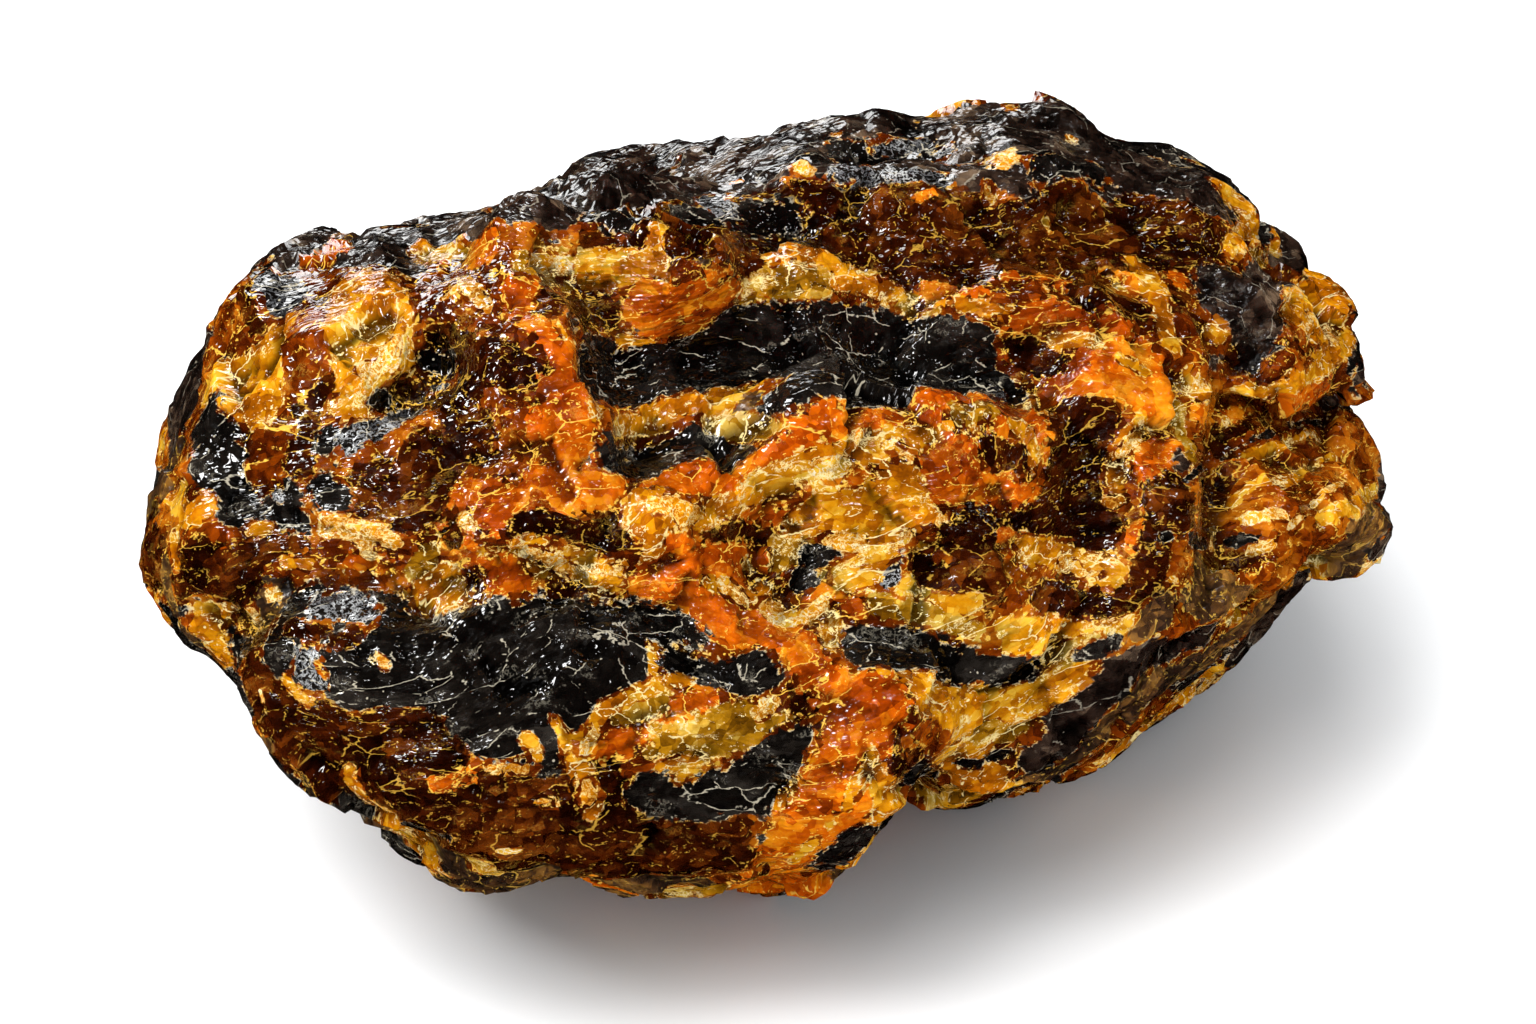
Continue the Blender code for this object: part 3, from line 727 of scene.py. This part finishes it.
def put(tree, kind, values=None, **settings):
    node = tree.nodes.new(kind)
    for name, value in settings.items():
        setattr(node, name, value)
    for socket, value in (values or {}).items():
        wire(tree, node.inputs[socket], value)
    return node


def maths(tree, operation, a, b=0.0, clamp=False):
    node = put(tree, "ShaderNodeMath", {0: a, 1: b}, operation=operation, use_clamp=clamp)
    return node.outputs[0]


def vectors(tree, operation, a, b):
    node = put(tree, "ShaderNodeVectorMath", {0: a}, operation=operation)
    wire(tree, node.inputs["Scale" if operation == "SCALE" else 1], b)
    return node.outputs["Value" if operation == "DOT_PRODUCT" else "Vector"]


def centred(tree, colour, reach):
    return vectors(tree, "SCALE", vectors(tree, "SUBTRACT", colour, (0.5, 0.5, 0.5)), reach)


def ranged(tree, value, low, high, first=0.0, last=1.0):
    values = {"Value": value, "From Min": low, "From Max": high, "To Min": first, "To Max": last}
    return put(tree, "ShaderNodeMapRange", values, interpolation_type="SMOOTHSTEP").outputs[0]


def blended(tree, share, a, b):
    return put(tree, "ShaderNodeMix", {0: share, 6: a, 7: b}, data_type="RGBA").outputs[2]


def toned(tree, value, colours, margin=0.04):
    node = put(tree, "ShaderNodeValToRGB", {0: value})
    points = node.color_ramp.elements
    while len(points) < len(colours):
        points.new(0.5)
    for number, (point, colour) in enumerate(zip(points, colours)):
        point.position = margin + (1 - 2 * margin) * number / (len(colours) - 1)
        point.color = (*colour, 1)
    return node.outputs[0]


# One operation, such as ADD, over several values.
def gathered(tree, operation, first, *others):
    for other in others:
        first = maths(tree, operation, first, other)
    return first


def cloud(tree, place, scale, detail, rough):
    values = {"Vector": place, "Scale": scale, "Detail": detail, "Roughness": rough}
    return put(tree, "ShaderNodeTexNoise", values).outputs


def kept(tree, name, output):
    return put(tree, "ShaderNodeAttribute", attribute_name=name).outputs[output]


def partsOf(tree, vector):
    return put(tree, "ShaderNodeSeparateXYZ", {0: vector}).outputs


def newGroup(name, inputs, outputs, colours=()):
    tree = bpy.data.node_groups.new(name, "ShaderNodeTree")
    for label, value in inputs.items():
        kind = "NodeSocketVector" if value is None else "NodeSocketFloat"
        socket = tree.interface.new_socket(label, in_out="INPUT", socket_type=kind)
        if value is not None:
            socket.default_value = value
    for label in outputs:
        tree.interface.new_socket(label, in_out="OUTPUT", socket_type="NodeSocketFloat")
    for label in colours:
        tree.interface.new_socket(label, in_out="OUTPUT", socket_type="NodeSocketColor")
    return tree, put(tree, "NodeGroupInput").outputs, put(tree, "NodeGroupOutput").inputs


def useGroup(tree, group, **values):
    node = tree.nodes.new("ShaderNodeGroup")
    node.node_tree = group
    for socket, value in values.items():
        wire(tree, node.inputs[socket.capitalize()], value)
    return node.outputs


# 1 where the gap is well inside the reach, falling to 0 at its end.
def within(tree, gap, reach, full):
    return ranged(tree, gap, maths(tree, "MULTIPLY", reach, full), reach, 1, 0)


# A line where the gap is small, thinner and then gone where keep is low.
def lineAt(tree, gap, width, keep, full=0.3, least=0.02):
    width = maths(tree, "MULTIPLY", width, maths(tree, "ADD", keep, least))
    return maths(tree, "MULTIPLY", within(tree, gap, width, full), keep)


# A net of cracks: thin lines where cells meet.
def crackNet():
    inputs = {"Place": None, "Scale": 1.0, "Width": 0.1, "Keep": 1.0}
    tree, given, made = newGroup("crackNet", inputs, ["Mask"], ["Plates"])
    spot = {"Vector": given["Place"], "Scale": given["Scale"]}
    cells = put(tree, "ShaderNodeTexVoronoi", spot, feature="DISTANCE_TO_EDGE")
    plates = put(tree, "ShaderNodeTexVoronoi", spot, feature="F1")
    wire(tree, made["Plates"], plates.outputs["Color"])
    gap = maths(tree, "DIVIDE", cells.outputs["Distance"], given["Scale"])
    wire(tree, made["Mask"], lineAt(tree, gap, given["Width"], given["Keep"]))
    return tree


# A thread wherever a noise passes its middle value.
def threadLine():
    tree, given, made = newGroup("threadLine", {"Noise": 0.5, "Width": 0.02, "Keep": 1.0}, ["Mask"])
    gap = maths(tree, "ABSOLUTE", maths(tree, "SUBTRACT", given["Noise"], 0.5))
    wire(tree, made["Mask"], lineAt(tree, gap, given["Width"], given["Keep"]))
    return tree


# Small broken faces: each cell leans its own way, has its own tone and may hold a speck.
def brokenFaces(full=0.5, least=0.3):
    inputs = {"Place": None, "Scale": 1.0, "Tilt": 0.3, "Speck": 0.1, "Share": 0.4}
    tree, given, made = newGroup("brokenFaces", inputs, ["Height", "Specks"], ["Colour"])
    spot = {"Vector": given["Place"], "Scale": given["Scale"]}
    cells = put(tree, "ShaderNodeTexVoronoi", spot, feature="F1").outputs
    lean = centred(tree, cells["Color"], given["Tilt"])
    away = vectors(tree, "SUBTRACT", given["Place"], cells["Position"])
    wire(tree, made["Height"], vectors(tree, "DOT_PRODUCT", lean, away))
    own = partsOf(tree, cells["Color"])
    wire(tree, made["Colour"], cells["Color"])
    gap = maths(tree, "DIVIDE", cells["Distance"], given["Scale"])
    size = maths(tree, "MULTIPLY", given["Speck"], maths(tree, "ADD", own[1], least))
    chosen = maths(tree, "LESS_THAN", own[2], given["Share"])
    wire(tree, made["Specks"], maths(tree, "MULTIPLY", within(tree, gap, size, full), chosen))
    return tree


net, thread, faces = crackNet(), threadLine(), brokenFaces()

# Each kind's tones from dark to light.
tones = {
    "cognac": (
        (0.022, 0.002, 0.0002), (0.09, 0.011, 0.0003), (0.25, 0.04, 0.0007), (0.55, 0.15, 0.004),
    ),
    "black": (
        (0.002, 0.0015, 0.0012), (0.004, 0.003, 0.0024), (0.008, 0.006, 0.0045), (0.025, 0.02, 0.016),
    ),
    "crust": (
        (0.002, 0.0012, 0.0008), (0.009, 0.0045, 0.0028), (0.03, 0.016, 0.01), (0.15, 0.095, 0.055),
    ),
    "maroon": (
        (0.004, 0.0005, 0.0001), (0.015, 0.002, 0.0002), (0.045, 0.006, 0.0004), (0.17, 0.035, 0.002),
    ),
    "orange": (
        (0.10, 0.01, 0.0002), (0.32, 0.04, 0.0004), (0.58, 0.10, 0.0008), (0.84, 0.27, 0.006),
    ),
    "gold": (
        (0.14, 0.03, 0.0006), (0.42, 0.11, 0.001), (0.70, 0.27, 0.003), (0.90, 0.52, 0.04),
    ),
    "olive": (
        (0.045, 0.016, 0.0006), (0.20, 0.075, 0.0015), (0.48, 0.21, 0.005), (0.84, 0.54, 0.08),
    ),
    # partly pale cream filaments, partly painted glints and highlights
    "cream": (
        (0.45, 0.13, 0.006), (0.76, 0.38, 0.04), (0.90, 0.66, 0.26), (0.97, 0.90, 0.66),
    ),
    "rind": (
        (0.010, 0.0045, 0.0018), (0.034, 0.014, 0.005), (0.10, 0.038, 0.007), (0.36, 0.15, 0.015),
    ),
    # a painted reflection: the pale blue-grey sheen, laid in a lace over black
    "steel": (
        (0.03, 0.03, 0.032), (0.10, 0.10, 0.105), (0.34, 0.34, 0.34), (0.70, 0.71, 0.70),
    ),
}

amber = {
    "ior": 1.54,
    "shine": 0.5,
    "seeThrough": 0.25,
    "bodyColour": (0.95, 0.45, 0.06, 1),  # what the depth of the resin lets through
    "bodyDensity": 160,  # per metre
    # a later kind lies over an earlier one, and a lacy one covers only in a fine lace
    "layers": ("rind", "crust", "maroon", "orange", "olive", "gold", "black", "steel", "cream"),
    "lacy": {"cream": "gold", "steel": "black"},  # and what shows through the lace
    "kindEdge": (0.44, 0.56),  # the share where a kind begins and where it is full
    "edgeSway": (1.1, 0.30),  # how much the ragged noise and the small faces shift that share
    "toneParts": {"fine": 0.35, "ragged": 0.75, "flakes": 0.20, "plates": 0.34, "faces": 0.30},
    "toneSpan": (0.42, 1.48),
    # the painted shade in hollows and painted light on edges: (cavity from, cavity to, brightness
    # from, brightness to)
    "hollows": (0.10, 0.52, 0.15, 0.85),
    "wornEdges": (0.55, 0.95, 1.0, 1.5),
    "goldLine": (0.97, 0.56, 0.07, 1),
    "creamLine": (0.98, 0.78, 0.34, 1),  # on light kinds
    "silverLine": (0.72, 0.64, 0.48, 1),  # on dark kinds
    "lineStrength": 0.95,
    "fainterOn": {"crust": 0.62, "rind": 0.4, "maroon": 0.45, "black": 0.3},
    "roughness": 0.02,
    "unevenGloss": 0.12,
    "dullerOn": {"rind": 0.2, "crust": 0.1},
}

# The resin's small patterns. Scales are per mm, and sizes, widths and bends in mm.
pattern = {
    # (scale, detail, roughness) of the noises
    "ragged": (0.8, 4, 0.62),
    "fine": (2.6, 3, 0.65),
    "ripples": (2.3, 1, 0.6),
    "rippleHeight": 0.24,
    # the small broken faces; the share is how many of them hold a speck
    "faces": {"scale": 1.9, "tilt": 0.34, "speck": 0.075, "share": 0.35},
    "cracks": {"scale": 0.75, "width": 0.032},
    "hair": 0.014,  # widths
    "lace": 0.055,
    "fineBend": 1.1,  # how far the ragged noise bends the fine one and the cracks
    "crackBend": 0.9,
    # where on its noise each sort of line begins and is full
    "cracksKept": (0.50, 0.56),
    "hairKept": (0.52, 0.58),
    "laceKept": (0.57, 0.63),
    "rimKept": (0.49, 0.56),
    "laceOffLight": 0.2,  # how much of the lace is left away from the light kinds
}


# How much of each kind is here, with outlines that follow the fibres and the small faces.
def kindShares(tree, ragged, faceColours):
    byNoise, byFaces = amber["edgeSway"]
    sway = vectors(tree, "ADD", centred(tree, ragged, byNoise), centred(tree, faceColours, byFaces))
    begins, full = amber["kindEdge"]
    share = {}
    rim = 0.0
    for attribute, kinds in kindSets.items():
        raw = vectors(tree, "ADD", kept(tree, attribute, "Vector"), sway)
        values = {6: raw, 7: [begins] * 3, 8: [full] * 3}  # Vector, From Min, From Max
        crisp = put(tree, "ShaderNodeMapRange", values, data_type="FLOAT_VECTOR",
                    interpolation_type="SMOOTHSTEP").outputs["Vector"]
        share.update(zip(kinds, partsOf(tree, crisp)))
        fringe = vectors(tree, "MULTIPLY", crisp, vectors(tree, "SUBTRACT", (1, 1, 1), crisp))
        fringe = vectors(tree, "DOT_PRODUCT", fringe, (4, 4, 4))  # 1 in the middle of an edge
        rim = maths(tree, "ADD", rim, fringe, True)
    for kind, behind in amber["lacy"].items():
        share[behind] = maths(tree, "ADD", share[behind], share[kind], True)
    return share, rim


def amberMaterial():
    material = bpy.data.materials.new("amber")
    material.use_nodes = True
    tree = material.node_tree
    tree.nodes.clear()
    place = vectors(tree, "SCALE", put(tree, "ShaderNodeTexCoord").outputs["Object"], 1 / mm)
    drawn = kept(tree, "fibres", "Vector")
    ragged = cloud(tree, drawn, *pattern["ragged"])["Color"]
    raggedParts = partsOf(tree, ragged)
    smallFaces = useGroup(tree, faces, place=place, **pattern["faces"])
    share, rim = kindShares(tree, ragged, smallFaces["Colour"])
    dark = maths(tree, "ADD", share["black"], share["crust"], True)
    light = maths(tree, "ADD", share["gold"], share["olive"], True)

    # pale cracks and threads that catch the light, broken into short lengths
    bent = vectors(tree, "ADD", place, centred(tree, ragged, pattern["fineBend"]))
    fine = partsOf(tree, cloud(tree, bent, *pattern["fine"])["Color"])
    cracked = vectors(tree, "ADD", drawn, centred(tree, ragged, pattern["crackBend"]))
    keep = ranged(tree, raggedParts[1], *pattern["cracksKept"])
    cracks = useGroup(tree, net, place=cracked, keep=keep, **pattern["cracks"])
    keep = ranged(tree, fine[1], *pattern["hairKept"])
    hair = useGroup(tree, thread, noise=raggedParts[2], width=pattern["hair"], keep=keep)["Mask"]
    hair = maths(tree, "MULTIPLY", hair, maths(tree, "SUBTRACT", 1.0, dark))
    lace = useGroup(tree, thread, noise=fine[2], width=pattern["lace"], keep=1.0)["Mask"]
    lacework = maths(tree, "MULTIPLY", lace, ranged(tree, raggedParts[0], *pattern["laceKept"]))
    onLight = ranged(tree, light, 0, 1, pattern["laceOffLight"], 1)
    lacework = maths(tree, "MULTIPLY", lacework, onLight)
    rim = maths(tree, "MULTIPLY", rim, ranged(tree, fine[1], *pattern["rimKept"]))
    lines = gathered(tree, "MAXIMUM", cracks["Mask"], hair, lacework, smallFaces["Specks"], rim)

    # its own colour, light and dark from plate to plate and grain to grain
    toneOf = {
        "fine": fine[0],
        "ragged": raggedParts[0],
        "flakes": partsOf(tree, kept(tree, "flakes", "Vector"))[0],
        "plates": partsOf(tree, cracks["Plates"])[0],
        "faces": partsOf(tree, smallFaces["Colour"])[0],
    }
    parts = [
        maths(tree, "MULTIPLY", toneOf[name], part) for name, part in amber["toneParts"].items()
    ]
    tone = ranged(tree, gathered(tree, "ADD", *parts), *amber["toneSpan"])
    colour = toned(tree, tone, tones["cognac"])
    for kind in amber["layers"]:
        cover = maths(tree, "MULTIPLY", share[kind], lace) if kind in amber["lacy"] else share[kind]
        colour = blended(tree, cover, colour, toned(tree, tone, tones[kind]))

    # painted shade darkens the hollows, and painted light brightens the edges
    worn = kept(tree, "worn", "Fac")
    hollows = ranged(tree, worn, *amber["hollows"])
    depth = maths(tree, "MULTIPLY", hollows, ranged(tree, worn, *amber["wornEdges"]))
    colour = vectors(tree, "SCALE", colour, depth)

    strength = amber["lineStrength"]
    for kind, loss in amber["fainterOn"].items():
        fainter = maths(tree, "MULTIPLY", share[kind], loss)
        strength = maths(tree, "SUBTRACT", strength, fainter, True)
    lineColour = blended(tree, light, amber["goldLine"], amber["creamLine"])
    lineColour = blended(tree, dark, lineColour, amber["silverLine"])
    colour = blended(tree, maths(tree, "MULTIPLY", lines, strength), colour, lineColour)

    ripples = cloud(tree, drawn, *pattern["ripples"])["Fac"]
    ripples = maths(tree, "MULTIPLY", ripples, pattern["rippleHeight"])
    height = maths(tree, "ADD", smallFaces["Height"], ripples)
    bump = put(tree, "ShaderNodeBump", {"Height": height, "Strength": 1.0, "Distance": 1 * mm})
    uneven = maths(tree, "MULTIPLY", raggedParts[0], amber["unevenGloss"])
    rough = maths(tree, "ADD", amber["roughness"], uneven)
    for kind, duller in amber["dullerOn"].items():
        rough = maths(tree, "ADD", rough, maths(tree, "MULTIPLY", share[kind], duller))

    shader = put(tree, "ShaderNodeBsdfPrincipled", {
        "Base Color": colour,
        "Roughness": rough,
        "Metallic": 0.0,
        "IOR": amber["ior"],
        "Specular IOR Level": amber["shine"],
        "Transmission Weight": amber["seeThrough"],
        "Normal": bump.outputs[0],
    })
    body = {"Color": amber["bodyColour"], "Density": amber["bodyDensity"]}
    absorption = put(tree, "ShaderNodeVolumeAbsorption", body)
    ends = {"Surface": shader.outputs[0], "Volume": absorption.outputs[0]}
    put(tree, "ShaderNodeOutputMaterial", ends)
    return material


lump.data.materials.clear()
lump.data.materials.append(amberMaterial())
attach(lump, "root")
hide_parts("amber")
print("amber finished")


# Floor and light.
studio = {
    "floorSize": 4.0,
    "floorColour": (0.94, 0.94, 0.94, 1),
    "floorRoughness": 0.9,
    "floorShine": 0.1,
    "worldColour": (0.96, 0.98, 1.0, 1),
    "worldStrength": 0.86,
    "suns": ((2.0, 40), (0.5, 14)),  # (strength, angle)
    "sunFrom": (-0.70, -0.25, 1.70),
    # (across, up and towards the eye, in metres from the aim; size, power)
    "fills": (((-0.30, 0.30, 0.34), 0.30, 1.4),),
    # small lamps that show only in the gloss
    "glints": (
        ((-0.15, 0.45, -0.25), 0.24, 1.1),
        ((-0.30, 0.35, 0.20), 0.13, 1.2),
        ((0.20, 0.32, 0.16), 0.04, 0.10),
        ((-0.20, -0.03, 0.36), 0.035, 0.12),
    ),
}


def makeFloor():
    body = bmesh.new()
    bmesh.ops.create_grid(body, x_segments=1, y_segments=1, size=studio["floorSize"] / 2)
    mesh = bpy.data.meshes.new("floor")
    body.to_mesh(mesh)
    body.free()
    floor = bpy.data.objects.new("floor", mesh)
    scene.collection.objects.link(floor)
    material = bpy.data.materials.new("floor")
    material.use_nodes = True
    shader = material.node_tree.nodes["Principled BSDF"]
    shader.inputs["Base Color"].default_value = studio["floorColour"]
    shader.inputs["Roughness"].default_value = studio["floorRoughness"]
    shader.inputs["Specular IOR Level"].default_value = studio["floorShine"]
    mesh.materials.append(material)
    floor.visible_glossy = False


def addLight(name, data, towardsLight, distance=1.0):
    light = bpy.data.objects.new(name, data)
    light.location = aim + towardsLight.normalized() * distance
    light.rotation_mode = "QUATERNION"
    light.rotation_quaternion = towardsLight.to_track_quat("Z", "Y")
    scene.collection.objects.link(light)
    return light


def makeSun(number, strength, angle):
    data = bpy.data.lights.new(f"sun{number}", "SUN")
    data.energy = strength
    data.angle = math.radians(angle)
    sun = addLight(f"sun{number}", data, Vector(studio["sunFrom"]))
    sun.visible_glossy = False


def makeLamp(name, place, size, power):
    data = bpy.data.lights.new(name, "AREA")
    data.shape = "DISK"
    data.size = size
    data.energy = power
    offset = place[0] * across + place[1] * upwards + place[2] * towards
    return addLight(name, data, offset, offset.length)


def makeWorld():
    world = bpy.data.worlds.new("studio")
    world.use_nodes = True
    background = world.node_tree.nodes["Background"]
    background.inputs["Color"].default_value = studio["worldColour"]
    background.inputs["Strength"].default_value = studio["worldStrength"]
    world.cycles_visibility.glossy = False  # only the lights show in the gloss
    scene.world = world


makeFloor()
for number, sun in enumerate(studio["suns"]):
    makeSun(number, *sun)
for number, lamp in enumerate(studio["fills"]):
    makeLamp(f"fill{number}", *lamp).visible_glossy = False
for number, lamp in enumerate(studio["glints"]):
    glint = makeLamp(f"glint{number}", *lamp)
    glint.visible_diffuse = False
    glint.visible_transmission = False
makeWorld()
scene.view_settings.view_transform = "Standard"
scene.cycles.transmission_bounces = 3
scene.cycles.diffuse_bounces = 2
scene.cycles.max_bounces = 4
scene.cycles.sample_clamp_indirect = 4
print("floor and lights set")
